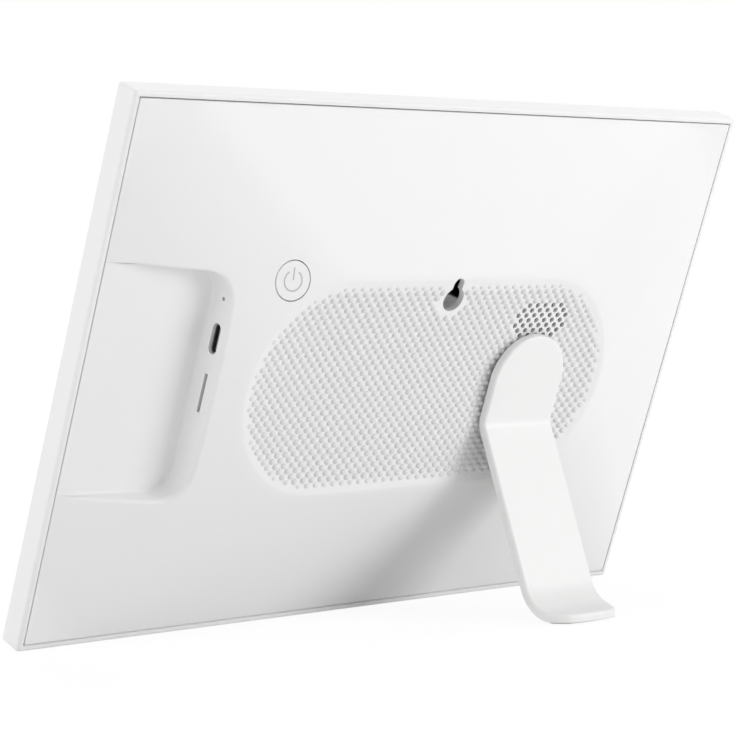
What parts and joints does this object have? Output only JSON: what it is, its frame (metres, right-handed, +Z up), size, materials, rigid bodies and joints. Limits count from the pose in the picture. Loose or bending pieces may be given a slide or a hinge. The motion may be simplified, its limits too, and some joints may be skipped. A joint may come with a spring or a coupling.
{
  "type": "digital photo frame",
  "caption": "Tabletop digital photo frame in a white domed plastic case, leaning back on a strap stand that swivels between landscape and portrait, with a keyhole for hanging.",
  "frame": {"origin": "on the floor, under the middle of the bounding box", "axes": "+Z up, the screen faces -Y, +X to the left as seen from behind"},
  "size_m": [0.25, 0.0808, 0.161],
  "materials": {
    "white_frame": "satin moulded",
    "white_cover": "fine satin moulded",
    "white_stand": "fine satin moulded",
    "white_button": "fine satin with a thin grey power symbol",
    "white_pocket": "plain moulded",
    "foot_rubber": "matt silicone",
    "lens_glass": "polished, with a dark printed border",
    "tape_black": "foam tape",
    "panel_dark": "dark liquid crystal panel",
    "guide_acrylic": "clear acrylic with films",
    "led_flex": "flex strip with light sources",
    "tray_steel": "plain sheet steel",
    "screw_steel": "plated steel",
    "hub_steel": "turned steel",
    "spring_steel": "spring steel",
    "socket_steel": "stamped steel",
    "shield_steel": "tinned steel",
    "tongue_grey": "moulded grey",
    "mesh_black": "woven acoustic cloth",
    "box_black": "plain moulded",
    "cone_black": "pressed cone",
    "lead_red": "insulated wire",
    "lead_white": "insulated wire",
    "lead_black": "thin coaxial cable",
    "board_green": "solder mask",
    "chip_black": "moulded epoxy",
    "coil_grey": "ferrite",
    "connector_ivory": "moulded",
    "flex_amber": "polyimide flex",
    "antenna_gold": "etched copper on film",
    "plunger_red": "moulded",
    "plunger_black": "moulded"
  },
  "bodies": {
    "frame": {"front_frame": "white_frame", "glass_tape": "tape_black", "cover_glass": "lens_glass", "lcd_panel": "panel_dark", "light_guide": "guide_acrylic", "led_strip": "led_flex", "backlight_tray": "tray_steel", "panel_screws": "screw_steel", "back_cover": "white_cover", "keyhole_pocket": "white_pocket", "speaker_mesh": "mesh_black", "speaker_box": "box_black", "speaker_cone": "cone_black", "speaker_screws": "screw_steel", "speaker_lead": "lead_red", "main_board": "board_green", "board_screws": "screw_steel", "processor": "chip_black", "memory_chips": "chip_black", "power_coils": "coil_grey", "wifi_shield": "shield_steel", "usb_c_shell": "socket_steel", "usb_c_tongue": "tongue_grey", "microsd_socket": "socket_steel", "reset_switch": "chip_black", "power_switch": "chip_black", "power_switch_board": "board_green", "switch_board_screws": "screw_steel", "switch_ribbon": "lead_white", "display_connector": "connector_ivory", "display_ribbon": "flex_amber", "touch_ribbon": "flex_amber", "wifi_antenna": "antenna_gold", "antenna_cable": "lead_black"},
    "stand": {"stand_arm": "white_stand", "foot_pad": "foot_rubber", "stand_hub": "hub_steel", "swivel_plate": "hub_steel", "spring_washer": "spring_steel", "hub_screws": "screw_steel"},
    "power_button": {"power_button": "white_button", "power_switch_plunger": "plunger_black"},
    "reset_plunger": {"reset_plunger": "plunger_red"}
  },
  "joints": [
    {"name": "stand_swivel", "type": "hinge", "parent": "frame", "child": "stand", "pos_m": [-0.04055, 0.00726, 0.07501], "axis": [0, 0.9397, -0.342], "range_deg": [0, 90]},
    {"name": "power_press", "type": "slide", "parent": "frame", "child": "power_button", "axis": [-0.1183, -0.9784, 0.1694], "range_m": [0, 0.00035], "stiffness_N_per_m": 1500, "springref_m": -0.0003},
    {"name": "reset_press", "type": "slide", "parent": "frame", "child": "reset_plunger", "axis": [-1, 0, 0], "range_m": [0, 0.0003], "stiffness_N_per_m": 1500, "springref_m": -0.0003}
  ]
}
